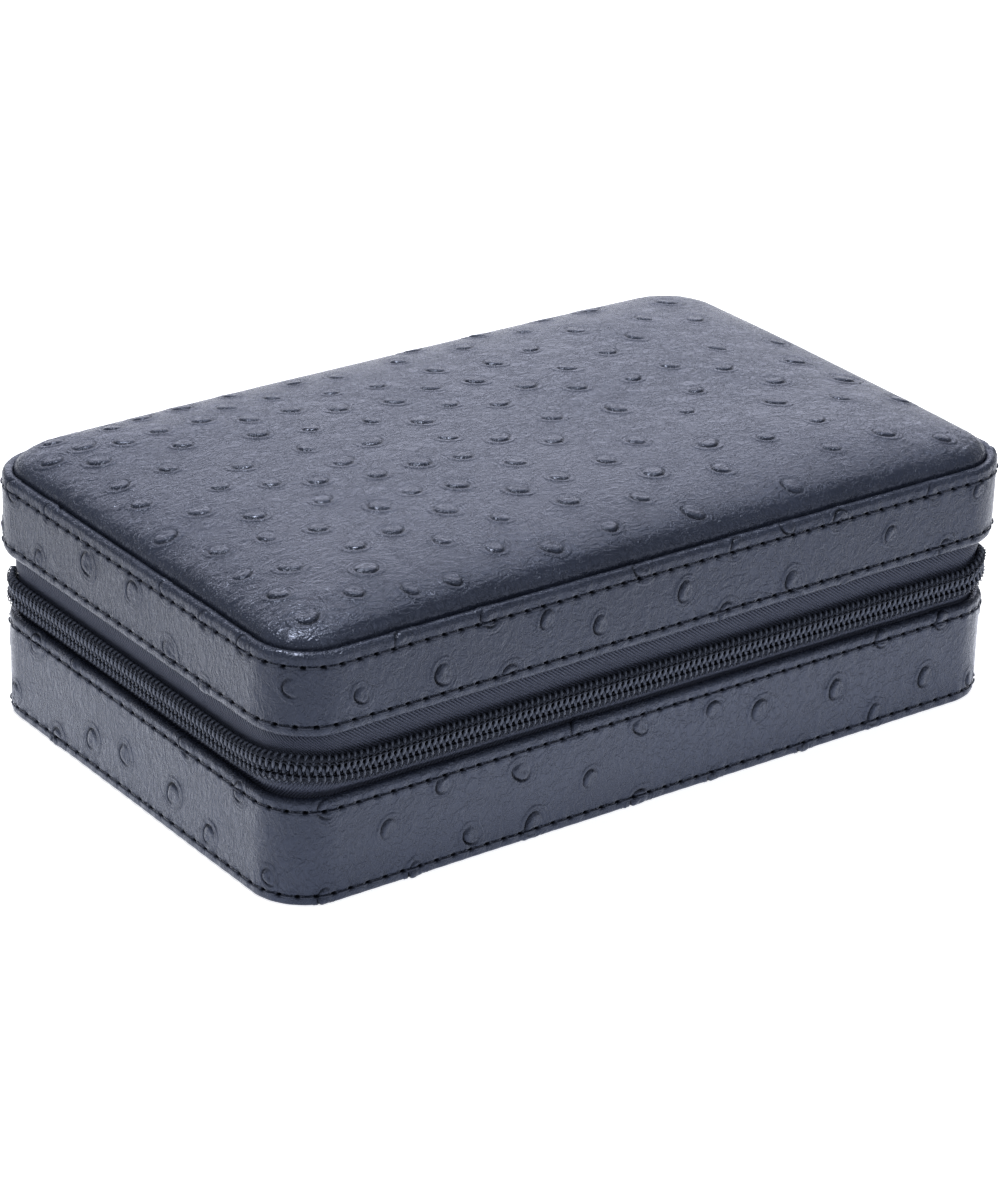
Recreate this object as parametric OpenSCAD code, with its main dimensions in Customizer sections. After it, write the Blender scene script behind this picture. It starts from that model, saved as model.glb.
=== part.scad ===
// Zip-round travel jewellery case: a leather-covered board box and lid,
// joined by a leather spine along the back and closed by a coil zip.
// X runs along the case, the front faces -Y, +Z is up, and the origin is
// the middle of the underside.

/* [Case] */
// Length over the lid's leather
case_l = 161; // [140:1:200]
// Depth over the lid's leather
case_w = 100; // [90:0.1:130]
// Radius of the upright corners, over the leather
corner_r = 11.4; // [11.2:0.1:20]
// Height where the base and lid boards meet
parting_z = 24.4; // [24.4:0.1:25]
// Top of the base's leather band
base_band_top = 20; // [17:0.1:20]
// Lower edge of the lid's leather band
lid_band_bottom = 31.9; // [31.5:0.1:32]
// Top of the lid's rolled leather rim
rim_top = 47.4; // [44:0.1:56]
// Height of the padded top's crown over the rim
crown_h = 6.7; // [3:0.1:8]
// How far the base's leather lies inside the lid's
base_inset = 0.9; // [0:0.1:1.2]

/* [Walls] */
// Depth from the lid's leather face to the zip tape under it
band_t = 2.9; // [2.4:0.1:3.4]
// Thickness of the zip tape
tape_t = 0.5; // [0.4:0.05:0.6]
// Thickness of the board walls
board_wall = 2.6; // [2.4:0.1:4]
// Thickness of the board floor and the board top
board_floor = 2; // [1.5:0.1:3]
// Thickness of the suede lining
lining_t = 0.8; // [0.5:0.1:1.2]
// Thickness of the leather under the base
bottom_t = 1.2; // [0.8:0.1:2]
// Thickness of the top leather
top_t = 1.2; // [0.8:0.1:2]
// Thickness of the leather spine
spine_t = 1.1; // [0.8:0.1:1.4]
// Width of the rolled rim round the top
rim_w = 2; // [1.6:0.1:2.6]

/* [Zip] */
// Spacing of the coil's turns
coil_pitch = 1.26; // [1.2:0.02:1.5]
// Width of each turn
coil_tooth = 0.42; // [0.3:0.02:0.42]
// Half the width of the closed chain
chain_half = 2.8; // [2.5:0.1:2.8]
// Thickness of the coil
coil_t = 1.9; // [1.6:0.1:2.1]
// How far the chain lies inside the lid's leather face
chain_inset = 0.6; // [0.4:0.1:0.8]
// How far each turn reaches past the middle of the chain
mesh_reach = 0.25; // [0.15:0.05:0.3]
// Angle round the rear left corner to which the chain runs
chain_end_a = 50; // [40:1:54]
// Length of tape sewn in beyond each rear corner
tape_tail = 8; // [4:0.5:12]
// Length of the slider
slider_l = 11; // [9:0.5:13]
// Distance from the slider's nose to the corner's end
slider_park = 1.6; // [1.5:0.1:3]
// Length of the pull tab
pull_l = 27; // [18:0.5:32]
// Width of the pull tab
pull_w = 5.4; // [5:0.1:6]

/* [Interior] */
// Number of ring rolls
ring_rolls = 5; // [3:1:5]
// Length of the ring rolls
roll_l = 60; // [45:1:60]
// Height of the ring rolls
roll_h = 15; // [10:0.5:16]
// Gap between the ring rolls
roll_gap = 0.6; // [0.4:0.1:2]
// Thickness of the padded dividers
divider_t = 2.6; // [2:0.1:4]
// Height of the padded dividers over the lining
divider_h = 14.5; // [10:0.5:16]
// Share of the right side's length given to the inner rear compartment
rear_split = 0.58; // [0.4:0.01:0.65]
// Length of the mirror
mirror_l = 106; // [80:1:106]
// Height of the mirror
mirror_w = 58; // [45:1:60]
// Width of the padded frame round the mirror
frame_w = 10; // [8:0.5:12]

/* [Hidden] */
$fn = 96;
arc_steps = 6;
touch = 0.01;              // overlap that joins two shapes of one solid

hl = case_l / 2;
hw = case_w / 2;
straight_x = hl - corner_r; // half length of the straight front
straight_y = hw - corner_r; // half length of the straight sides
board_in = band_t + tape_t; // inset of the boards' outer face
relief_in = board_in + 1;   // inset of the boards beside the slider
relief_h = 7;               // height of that relief each side of the parting
lip_t = 0.7;                // thickness of the linings turned over the boards' edges
lip_gap = 0.05;             // clearance of each turned lining from the parting
wall_in = board_in + board_wall;
room_in = wall_in + lining_t; // inset of the lined walls
floor_z = bottom_t + board_floor + lining_t;
room_l = case_l - 2 * room_in;
room_w = case_w - 2 * room_in;
edge_r = (band_t - base_inset) / 2; // rounding of the base's turned edge
lid_edge_r = 1.2;           // rounding of the lid's turned edge
foot_r = 0.5;               // rounding of the base's lower edge
foot_gap = 0.1;             // the band hangs this far over the table
seam_gap = 0.25;            // leather seams stand this far apart
band_lap = 9.4;             // how far the bands cover the tape

lid_top_z = rim_top - 3;    // top of the lid's board
ceiling_z = lid_top_z - board_floor - lining_t;
panel_in = rim_w + 0.15;
panel_edge_z = rim_top - 0.7;
crown_flat = 3;             // higher is flatter in the middle
crown_round = 0.32;         // lower is rounder at the edge
crown_corner = 0.27;        // how much lower the crown is at the corners
hinge_strip_h = 6;
hinge_strip_t = 0.6;
stand_off = 0.3;            // clearance of what stands in the base from its lining
frame_depth = 3.2;
frame_lip = 1;
frame_back = 0.6;
frame_r = 6;
mirror_r = 3;

chain_z = parting_z;
tape_face = chain_inset + coil_t;
tape_edge = 0.8;            // half the gap between the two tapes
coil_root = 0.6;            // height of the coil's sewn root
coil_mid_in = chain_inset + coil_t / 2;
unmeshed_a = 20;            // the last turns by the chain's end stand apart over this angle
unmeshed_gap = 0.1;
turn_sink = 0.05;           // a turn's flat faces lie this far inside the round root

// The slider stands at its parking place near the rear of the right side.
slider_y = straight_y - slider_park - slider_l / 2;
coil_part = 0.75;           // how far the slider spreads each row of turns
post_y = 2.6;               // the post's start, ahead of the slider's middle
post_half = 0.4;
channel_clear = 0.2;        // clearance of the slider's channel round the coil
channel_half = chain_half + channel_clear;
flange_t = 0.6;
plate_t = 1.2;
back_plate_t = 0.9;
slot_clear = 0.3;           // clearance of the slider round coil and tape
plate_in = chain_inset - slot_clear;
back_plate_in = tape_face + tape_t + slot_clear + 0.05;
coil_end_y = slider_y + slider_l / 2 + 0.3;
stop_l = 1.6;

// The bail and the eye of the pull tab that it holds.
pin_r = 0.5;
pin_gap = 0.12;
pin_in = plate_in - plate_t - pin_gap - pin_r; // inset of the pull's hinge pin
bail_half_l = 3.2;
bail_w = 1.7;
bail_t = 0.9;
eye_side = 1.15;            // width of the eye's side arms
eye_gap = 0.25;
eye_reach = bail_half_l + 0.6;
pull_t = 1;

// ---- outlines and sweeps ----

// Points of an arc in a profile.
function bend(cx, cy, r, a0, a1) =
    [for (i = [0:arc_steps]) let (a = a0 + (a1 - a0) * i / arc_steps) [cx + r * cos(a), cy + r * sin(a)]];

// A rounded rectangle that lies a given distance inside the lid's face.
module outline(inset) {
    r = max(corner_r - inset, 0.8);
    l = case_l - 2 * inset;
    w = case_w - 2 * inset;
    square([l - 2 * r, w], center = true);
    square([l, w - 2 * r], center = true);
    for (sx = [-1, 1], sy = [-1, 1]) translate([sx * (l / 2 - r), sy * (w / 2 - r)]) circle(r);
}

module slab(inset, z0, z1) {
    translate([0, 0, z0]) linear_extrude(z1 - z0) outline(inset);
}

// A profile of [inset, height] points along one side, between two places on it.
// Side 0 is the front, 1 the right, 2 the back and 3 the left.
module along_side(profile, side, from, to) {
    half = side % 2 == 0 ? hw : hl;
    rotate([0, 0, side * 90]) translate([from, 0, 0]) rotate([90, 0, 90]) linear_extrude(to - from)
        polygon([for (p = profile) [p[0] - half, p[1]]]);
}

// The same profile round one corner. Corner 0 is the front right, 1 the rear
// right, 2 the rear left and 3 the front left.
module round_corner(profile, corner) {
    sx = corner < 2 ? 1 : -1;
    sy = corner == 1 || corner == 2 ? 1 : -1;
    translate([sx * straight_x, sy * straight_y, 0]) rotate([0, 0, corner * 90 - 90])
        rotate_extrude(angle = 90) polygon([for (p = profile) [corner_r - p[0], p[1]]]);
}

module ring(profile) {
    for (side = [0:3]) {
        half = side % 2 == 0 ? straight_x : straight_y;
        along_side(profile, side, -half, half);
        round_corner(profile, side);
    }
}

// ---- base ----

module base_board() {
    color("tan") difference() {
        slab(board_in, bottom_t, parting_z - lip_t);
        slab(wall_in, bottom_t + board_floor, parting_z + 1);
        difference() {
            slab(board_in - 1, parting_z - relief_h, parting_z + 1);
            slab(relief_in, parting_z - relief_h - 1, parting_z + 2);
        }
    }
}

module base_band() {
    face = base_inset;
    lap_z = base_band_top - band_lap;
    color([0.13, 0.14, 0.17]) ring(concat(
        [[board_in, foot_gap]],
        bend(face + foot_r, foot_gap + foot_r, foot_r, 270, 180),
        bend(face + edge_r, base_band_top - edge_r, edge_r, 180, 0),
        [[band_t, lap_z], [board_in, lap_z]]));
}

module base_bottom_panel() {
    color([0.11, 0.12, 0.14]) slab(board_in + seam_gap, 0, bottom_t);
}

module base_lining() {
    color([0.2, 0.2, 0.22]) difference() {
        union() {
            slab(wall_in, bottom_t + board_floor, parting_z - lip_gap);
            slab(relief_in, parting_z - lip_t, parting_z - lip_gap);
        }
        slab(room_in, floor_z, parting_z + 1);
    }
}

// ---- zip ----

// Which way is up for the lower and the upper half of the zip.
function flip(upper) = upper ? 1 : -1;

function tape_profile(upper, lap_end) = let (u = flip(upper), edge = upper ? lid_band_bottom : base_band_top) [
    [band_t, lap_end], [band_t, edge - u * 0.5],
    [tape_face, chain_z + u * chain_half], [tape_face, chain_z + u * tape_edge],
    [tape_face + tape_t, chain_z + u * tape_edge], [tape_face + tape_t, chain_z + u * chain_half],
    [band_t + tape_t, edge - u * 0.5], [band_t + tape_t, lap_end]];

module tape(upper) {
    profile = tape_profile(upper, upper ? lid_band_bottom + band_lap : base_band_top - band_lap);
    along_side(profile, 0, -straight_x, straight_x);
    along_side(profile, 1, -straight_y, straight_y);
    along_side(profile, 3, -straight_y, straight_y);
    for (corner = [0:3]) round_corner(profile, corner);
    along_side(profile, 2, -straight_x, -straight_x + tape_tail);
    along_side(profile, 2, straight_x - tape_tail, straight_x);
}

// How far the slider holds a row of turns apart at a place along the right side.
function spread(y) = min(max((y - slider_y) / post_y, 0), 1) * coil_part;

// The lower end and the length of one turn, for the given lift away from the
// chain's middle. Its outer end is buried in the root.
function turn_bottom(upper, lift, reach) =
    upper ? chain_z + lift - reach : chain_z - lift - chain_half + coil_root / 2;
function turn_l(reach) = chain_half + reach - coil_root / 2;
function root_bottom(upper) = upper ? chain_z + chain_half - coil_root : chain_z - chain_half;

// The coil along one side: its turns, and the root that is sewn to the tape.
module coil_side(upper, side, to) {
    half = side % 2 == 0 ? hw : hl;
    run = side % 2 == 0 ? straight_x : straight_y;
    turns = round(2 * run / coil_pitch);
    step = 2 * run / turns;
    by_slider = side == 1;
    rotate([0, 0, side * 90]) {
        translate([0, chain_inset + coil_t - half, 0]) rotate([90, 0, 0]) linear_extrude(coil_t)
            polygon(concat(root_line(upper, run, to, by_slider, 0), root_line(upper, run, to, by_slider, coil_root)));
        translate([0, chain_inset + coil_t - turn_sink - half, 0]) rotate([90, 0, 0])
            linear_extrude(coil_t - 2 * turn_sink) for (i = [0:turns])
                let (x = (i + (upper ? 0.5 : 0)) * step - run, lift = by_slider ? spread(x) : 0)
                if (x <= to) translate([x - coil_tooth / 2, turn_bottom(upper, lift, mesh_reach)])
                    square([coil_tooth, turn_l(mesh_reach)]);
    }
}

// One edge of the root, with its bend where the slider lifts it.
function root_line(upper, run, to, by_slider, above) = let (
    places = by_slider ? [-run, slider_y, slider_y + post_y, to] : [-run, to],
    line = [for (x = places) [x, root_bottom(upper) + above + (upper ? 1 : -1) * (by_slider ? spread(x) : 0)]])
    above == 0 ? line : [for (i = [len(line) - 1:-1:0]) line[i]];

module coil_corner(upper, corner, from = 0) {
    sx = corner < 2 ? 1 : -1;
    sy = corner == 1 || corner == 2 ? 1 : -1;
    r_in = corner_r - chain_inset - coil_t;
    turns = round(90 * PI / 180 * (corner_r - coil_mid_in) / coil_pitch);
    step = 90 / turns;
    translate([sx * straight_x, sy * straight_y, 0]) rotate([0, 0, corner * 90 - 90]) {
        for (i = [upper ? 0 : 1:turns - 1]) let (a = (i + (upper ? 0.5 : 0)) * step)
            if (a > from) {
                reach = from > 0 && a < from + unmeshed_a ? -unmeshed_gap : mesh_reach;
                rotate([0, 0, a]) translate([r_in + turn_sink, -coil_tooth / 2, turn_bottom(upper, 0, reach)])
                    cube([coil_t - 2 * turn_sink, coil_tooth, turn_l(reach)]);
            }
        // drawn back from the side that it joins
        rotate([0, 0, 90]) translate([0, 0, root_bottom(upper)]) rotate_extrude(angle = from - 90)
            translate([r_in, 0]) square([coil_t, coil_root]);
    }
}

module coil(upper) {
    coil_side(upper, 0, straight_x);
    coil_side(upper, 1, coil_end_y);
    coil_side(upper, 3, straight_y);
    coil_corner(upper, 0);
    coil_corner(upper, 3);
    coil_corner(upper, 2, 90 - chain_end_a);
}

// The crimp that ends one row of turns, just ahead of the slider's nose.
module stop(upper) {
    z = upper ? chain_z + coil_part - mesh_reach : chain_z - coil_part - chain_half;
    translate([hl - tape_face, coil_end_y + 0.1, z]) cube([coil_t + 0.2, stop_l, chain_half + mesh_reach]);
}

module zip_tape_lower() { color([0.05, 0.05, 0.06]) tape(false); }
module zip_tape_upper() { color([0.05, 0.05, 0.06]) tape(true); }
module zip_coil_lower() { color([0.02, 0.02, 0.02]) coil(false); }
module zip_coil_upper() { color([0.02, 0.02, 0.02]) coil(true); }
module zip_stop_lower() { color([0.1, 0.1, 0.1]) stop(false); }
module zip_stop_upper() { color([0.1, 0.1, 0.1]) stop(true); }

// A flat shape in the slider's own plane, [along, up] from its middle, between two insets.
module in_zip_plane(near, far) {
    translate([hl - far, slider_y, chain_z]) rotate([90, 0, 90]) linear_extrude(far - near) children();
}

// Half widths at the tail and at the nose's shoulders give the heart-shaped plate.
module heart(tail_half, nose_half) {
    l = slider_l / 2;
    side = [[-l, tail_half - 0.6], [-l + 0.5, tail_half], [0, tail_half], [post_y, nose_half],
        [l - 1.1, nose_half], [l - 0.2, nose_half - 1.1], [l, nose_half - 2]];
    polygon(concat(side, [for (i = [len(side) - 1:-1:0]) [side[i][0], -side[i][1]]]));
}

module channel() {
    l = slider_l / 2 + 1;
    side = [[-l, channel_half], [0, channel_half], [post_y, channel_half + coil_part], [l, channel_half + coil_part]];
    polygon(concat(side, [for (i = [len(side) - 1:-1:0]) [side[i][0], -side[i][1]]]));
}

module slider_body() {
    tail_half = channel_half + flange_t + 0.1;
    nose_half = channel_half + coil_part + flange_t - 0.05;
    color([0.12, 0.12, 0.13]) {
        in_zip_plane(plate_in - plate_t, plate_in) heart(tail_half, nose_half);
        in_zip_plane(plate_in - touch, tape_face - slot_clear) difference() {
            heart(tail_half, nose_half);
            channel();
        }
        in_zip_plane(plate_in - touch, back_plate_in + touch) translate([post_y + 0.3, -post_half])
            square([slider_l / 2 - post_y - 0.6, 2 * post_half]);
        in_zip_plane(back_plate_in, back_plate_in + back_plate_t) heart(channel_half, channel_half + 0.35);
    }
}

// The arch that holds the pull: two feet on the plate and a bar between them.
module slider_bail() {
    top_in = pin_in - pin_r - pin_gap - bail_t;
    color([0.16, 0.16, 0.17]) translate([hl, slider_y, chain_z - bail_w / 2]) linear_extrude(bail_w) difference() {
        polygon([[plate_t - plate_in, -bail_half_l], [-top_in - bail_t, -bail_half_l], [-top_in, bail_t - bail_half_l],
            [-top_in, bail_half_l - bail_t], [-top_in - bail_t, bail_half_l], [plate_t - plate_in, bail_half_l]]);
        translate([plate_t - plate_in - 1, bail_t - bail_half_l])
            square([1 - top_in - bail_t - plate_t + plate_in, 2 * (bail_half_l - bail_t)]);
    }
}

// The tab lies along the chain towards the front, hinged on the pin of its eye.
module pull_tab() {
    eye_half = bail_w / 2 + eye_gap + eye_side;
    eye_open = bail_w / 2 + eye_gap;
    color([0.16, 0.16, 0.17]) {
        translate([hl - pin_in, slider_y, chain_z - eye_half]) cylinder(r = pin_r, h = 2 * eye_half);
        translate([hl - pin_in - pull_t / 2, slider_y, chain_z]) rotate([90, 0, 90]) linear_extrude(pull_t) difference() {
            union() {
                polygon([[0, -eye_half], [0, eye_half], [-eye_reach, eye_half], [-eye_reach - 3, pull_w / 2],
                    [-pull_l + pull_w / 2, pull_w / 2], [-pull_l + pull_w / 2, -pull_w / 2],
                    [-eye_reach - 3, -pull_w / 2], [-eye_reach, -eye_half]]);
                translate([-pull_l + pull_w / 2, 0]) circle(pull_w / 2);
            }
            translate([-eye_reach, -eye_open]) square([eye_reach + 1, 2 * eye_open]);
            translate([-pull_l + pull_w / 2, 0]) circle(1.2);
        }
    }
}

// ---- hinge ----

module hinge_spine() {
    low = base_band_top - band_lap;
    high = lid_band_bottom + band_lap;
    face = band_t + tape_t - spine_t;
    reach = straight_x - tape_tail - seam_gap;
    color([0.12, 0.13, 0.15]) along_side([
        [band_t, low], [band_t, base_band_top + 0.4], [face, base_band_top + 1.2],
        [face, lid_band_bottom - 1.2], [band_t, lid_band_bottom - 0.4], [band_t, high],
        [board_in, high], [board_in, low]], 2, -reach, reach);
}

module hinge_lining() {
    reach = straight_x - tape_tail;
    color([0.2, 0.2, 0.22]) along_side([
        [room_in, parting_z - hinge_strip_h], [room_in, parting_z + hinge_strip_h],
        [room_in + hinge_strip_t, parting_z + hinge_strip_h], [room_in + hinge_strip_t, parting_z - hinge_strip_h]],
        2, -reach, reach);
}

// ---- interior ----

// What stands in the base stays clear of its rounded corners.
module in_base(top) {
    intersection() {
        children();
        slab(room_in + stand_off, floor_z, top);
    }
}

roll_pitch = (room_w - 2 * stand_off + roll_gap) / ring_rolls;
roll_w = roll_pitch - roll_gap;
rolls_x = stand_off - room_l / 2;
divider_x = rolls_x + roll_l + roll_gap;
cross_x = divider_x + divider_t;
cross_y = -divider_t / 2;

// A foam bar with a round top; rings are pushed between one bar and the next.
module ring_roll(n) {
    y = (n - 0.5) * roll_pitch - (room_w - 2 * stand_off + roll_gap) / 2;
    round_r = roll_w / 2;
    color([0.24, 0.24, 0.27]) in_base(floor_z + roll_h) translate([rolls_x, y, floor_z])
        rotate([90, 0, 90]) linear_extrude(roll_l) {
            translate([-round_r, 0]) square([roll_w, max(roll_h - round_r, 1)]);
            translate([0, roll_h - round_r]) intersection() {
                circle(round_r);
                translate([-round_r, -0.5]) square([roll_w, round_r + 1]);
            }
        }
}

// A padded wall with a rounded top edge, standing along X from a corner point.
module wall(x, y, l) {
    r = divider_t / 2;
    translate([x, y, floor_z]) rotate([90, 0, 90]) linear_extrude(l) {
        square([divider_t, divider_h - r]);
        translate([r, divider_h - r]) circle(r);
    }
}

module divider_main() {
    l = room_w - 2 * stand_off;
    color([0.2, 0.2, 0.22]) translate([divider_x, -l / 2, 0]) mirror([1, -1, 0]) wall(0, 0, l);
}

module divider_cross() {
    color([0.2, 0.2, 0.22]) wall(cross_x, cross_y, room_l / 2 - stand_off - cross_x);
}

module divider_short() {
    y = cross_y + divider_t;
    x = cross_x + rear_split * (room_l / 2 - cross_x);
    color([0.2, 0.2, 0.22]) translate([x, y, 0]) mirror([1, -1, 0]) wall(0, 0, room_w / 2 - stand_off - y);
}

// ---- lid ----

module lid_board() {
    color("tan") difference() {
        slab(board_in, parting_z + lip_t, lid_top_z);
        slab(wall_in, parting_z - 1, lid_top_z - board_floor);
        difference() {
            slab(board_in - 1, parting_z - 1, parting_z + relief_h);
            slab(relief_in, parting_z - 2, parting_z + relief_h + 1);
        }
    }
}

module lid_band() {
    lap_z = lid_band_bottom + band_lap;
    shoulder_z = panel_edge_z - top_t - 0.3;
    color([0.14, 0.15, 0.18]) ring(concat(
        bend(lid_edge_r, lid_band_bottom + lid_edge_r, lid_edge_r, 270, 180),
        bend(rim_w / 2, rim_top - rim_w / 2, rim_w / 2, 180, 0),
        [[rim_w, shoulder_z], [board_in, shoulder_z], [board_in, lap_z], [band_t, lap_z]],
        bend(band_t - lid_edge_r, lid_band_bottom + lid_edge_r, lid_edge_r, 360, 270)));
}

module lid_lining() {
    color([0.2, 0.2, 0.22]) difference() {
        union() {
            slab(wall_in, parting_z + lip_gap, lid_top_z - board_floor);
            slab(relief_in, parting_z + lip_gap, parting_z + lip_t);
        }
        slab(room_in, parting_z - 1, ceiling_z);
    }
}

// The padded top. It rises steeply from the rim in a round shoulder to a nearly
// flat crown, and is lower at the four corners.
crown_steps = [1, 0.997, 0.99, 0.98, 0.96, 0.93, 0.88, 0.8, 0.7, 0.55, 0.35, 0.15];
corner_steps = 8;
function crown_z(t, p) = panel_edge_z + (rim_top + crown_h - panel_edge_z)
    * pow(1 - pow(t, crown_flat), crown_round)
    * (1 - crown_corner * pow(t * t * abs(p[0] * p[1]) / (hl * hw), 3));
function outline_points(inset) = [for (q = [0:3], i = [0:corner_steps])
    let (a = q * 90 - 90 + 90 * i / corner_steps, sx = q < 2 ? 1 : -1, sy = q == 1 || q == 2 ? 1 : -1)
    [sx * straight_x + (corner_r - inset) * cos(a), sy * straight_y + (corner_r - inset) * sin(a)]];

// A closed solid between the crown, lowered by top_drop, and either a flat
// underside or the crown lowered by bottom_drop and drawn in by side_wall.
module crowned(inset, top_drop, bottom_drop, side_wall, flat_z) {
    edge = outline_points(inset);
    inner = outline_points(inset + side_wall);
    n = len(edge);
    steps = len(crown_steps);
    top = [for (t = crown_steps, p = edge) [t * p[0], t * p[1], crown_z(t, p) - top_drop]];
    under = [for (t = crown_steps, p = inner)
        [t * p[0], t * p[1], flat_z == undef ? crown_z(t, p) - bottom_drop : flat_z]];
    half = n * steps;
    bands = [for (s = [0:steps - 2], i = [0:n - 1]) let (a = s * n + i, b = s * n + (i + 1) % n) [a, a + n, b + n, b]];
    polyhedron(
        points = concat(top, under),
        faces = concat(
            flat_split(bands, 0), [[for (i = [0:n - 1]) half - n + i]],
            flat_split([for (f = bands) [f[3], f[2], f[1], f[0]]], half), [[for (i = [n - 1:-1:0]) 2 * half - n + i]],
            flat_split([for (i = [0:n - 1]) [i, (i + 1) % n, half + (i + 1) % n, half + i]], 0)));
}

// Four-sided faces as pairs of triangles, with their point numbers moved on.
function flat_split(quads, by) = [for (f = quads, k = [0, 1])
    k == 0 ? [f[2] + by, f[1] + by, f[0] + by] : [f[3] + by, f[2] + by, f[0] + by]];

module lid_top_panel() { color([0.15, 0.16, 0.19]) crowned(panel_in, 0, top_t, 0.8, undef); }
module lid_foam() { color([0.5, 0.5, 0.5]) crowned(board_in + 0.3, top_t + 0.2, 0, 0, lid_top_z); }

// ---- mirror in the lid ----

module plate(l, w, r, z0, z1) {
    translate([0, 0, z0]) linear_extrude(z1 - z0) {
        square([l - 2 * r, w], center = true);
        square([l, w - 2 * r], center = true);
        for (sx = [-1, 1], sy = [-1, 1]) translate([sx * (l / 2 - r), sy * (w / 2 - r)]) circle(r);
    }
}

module mirror_frame() {
    front = ceiling_z - frame_depth;
    color([0.2, 0.2, 0.22]) difference() {
        plate(mirror_l + 2 * frame_w, mirror_w + 2 * frame_w, frame_r, front, ceiling_z);
        plate(mirror_l + 0.4, mirror_w + 0.4, mirror_r, front + frame_lip, ceiling_z - frame_back);
        plate(mirror_l - 2 * frame_lip, mirror_w - 2 * frame_lip, mirror_r, front - 1, front + frame_lip + touch);
    }
}

module mirror_glass() {
    color([0.75, 0.8, 0.85]) plate(mirror_l, mirror_w, mirror_r, ceiling_z - frame_depth + frame_lip, ceiling_z - frame_back);
}

base_board();
base_band();
base_bottom_panel();
base_lining();
zip_tape_lower();
zip_coil_lower();
zip_stop_lower();
divider_main();
divider_cross();
divider_short();
ring_roll(1);  // ring_roll_1
ring_roll(2);  // ring_roll_2
ring_roll(3);  // ring_roll_3
ring_roll(4);  // ring_roll_4
ring_roll(5);  // ring_roll_5
hinge_spine();
hinge_lining();
lid_board();
lid_band();
lid_foam();
lid_top_panel();
lid_lining();
zip_tape_upper();
zip_coil_upper();
zip_stop_upper();
mirror_frame();
mirror_glass();
slider_body();
slider_bail();
pull_tab();
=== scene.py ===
"""A leather zip-round jewellery case, dressed over its CAD frame.

The leather, the zip's coil, the tape, the stitches and the soft linings are
modelled here. Lengths are in millimetres and become metres through MM.
"""
import math

import bpy
import numpy as np
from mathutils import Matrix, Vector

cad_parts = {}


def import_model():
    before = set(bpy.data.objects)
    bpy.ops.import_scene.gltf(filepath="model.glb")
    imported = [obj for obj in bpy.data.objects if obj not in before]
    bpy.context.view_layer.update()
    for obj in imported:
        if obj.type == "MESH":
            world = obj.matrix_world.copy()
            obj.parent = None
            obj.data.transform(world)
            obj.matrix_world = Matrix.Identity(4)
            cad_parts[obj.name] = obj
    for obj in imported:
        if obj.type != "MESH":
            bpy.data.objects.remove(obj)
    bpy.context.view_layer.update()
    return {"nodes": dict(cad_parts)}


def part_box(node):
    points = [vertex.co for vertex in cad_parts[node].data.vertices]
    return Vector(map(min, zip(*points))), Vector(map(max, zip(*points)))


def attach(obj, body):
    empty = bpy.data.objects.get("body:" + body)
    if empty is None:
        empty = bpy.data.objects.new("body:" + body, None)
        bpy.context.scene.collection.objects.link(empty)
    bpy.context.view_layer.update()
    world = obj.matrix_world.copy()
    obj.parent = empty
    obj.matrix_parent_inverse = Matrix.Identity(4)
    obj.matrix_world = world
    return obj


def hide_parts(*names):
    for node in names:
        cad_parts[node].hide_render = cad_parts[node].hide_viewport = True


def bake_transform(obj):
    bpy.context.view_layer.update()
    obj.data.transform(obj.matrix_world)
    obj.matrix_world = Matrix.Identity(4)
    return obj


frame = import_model()

MM = 0.001
rng = np.random.default_rng(7)

# ---- sizes, from the frame ----


def box_mm(node):
    """Lowest and highest corner of a CAD node in millimetres."""
    return [np.array(c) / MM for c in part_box(node)]


band_lo, band_hi = box_mm("lid_band")
base_lo, base_hi = box_mm("base_band")
panel_hi = box_mm("lid_top_panel")[1]
HL, HW = band_hi[0], band_hi[1]
CORNER_R = 11.4
SX, SY = HL - CORNER_R, HW - CORNER_R
BASE_IN = HL - base_hi[0]
RIM_TOP = band_hi[2]
LID_EDGE = band_lo[2]
BASE_TOP = base_hi[2]
BASE_FOOT = base_lo[2]
PARTING = 24.4
BAND_T = 2.9
TAPE_T = 0.5
RIM_W = 2.0
FOOT_R = 0.5
COIL_PITCH = 1.26
CHAIN_IN = 0.6
COIL_T = 1.9
TAPE_FACE = CHAIN_IN + COIL_T
BOARD_IN = BAND_T + TAPE_T
QUARTER = CORNER_R * math.pi / 2
PERIMETER = 4 * SX + 4 * SY + 4 * QUARTER

# ---- camera, at the photographed view ----

camera_data = bpy.data.cameras.new("camera")
camera_data.lens = 124.991
camera_data.sensor_width = 36
camera_data.sensor_fit = "AUTO"
camera_data.clip_start = 0.01
camera = bpy.data.objects.new("camera", camera_data)
camera.location = (-0.415891, -0.553504, 0.344570)
camera.rotation_euler = (math.radians(64.8084), math.radians(-1.7382), math.radians(-36.0815))
bpy.context.collection.objects.link(camera)
bpy.context.scene.camera = camera

# ---- node trees ----


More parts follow.
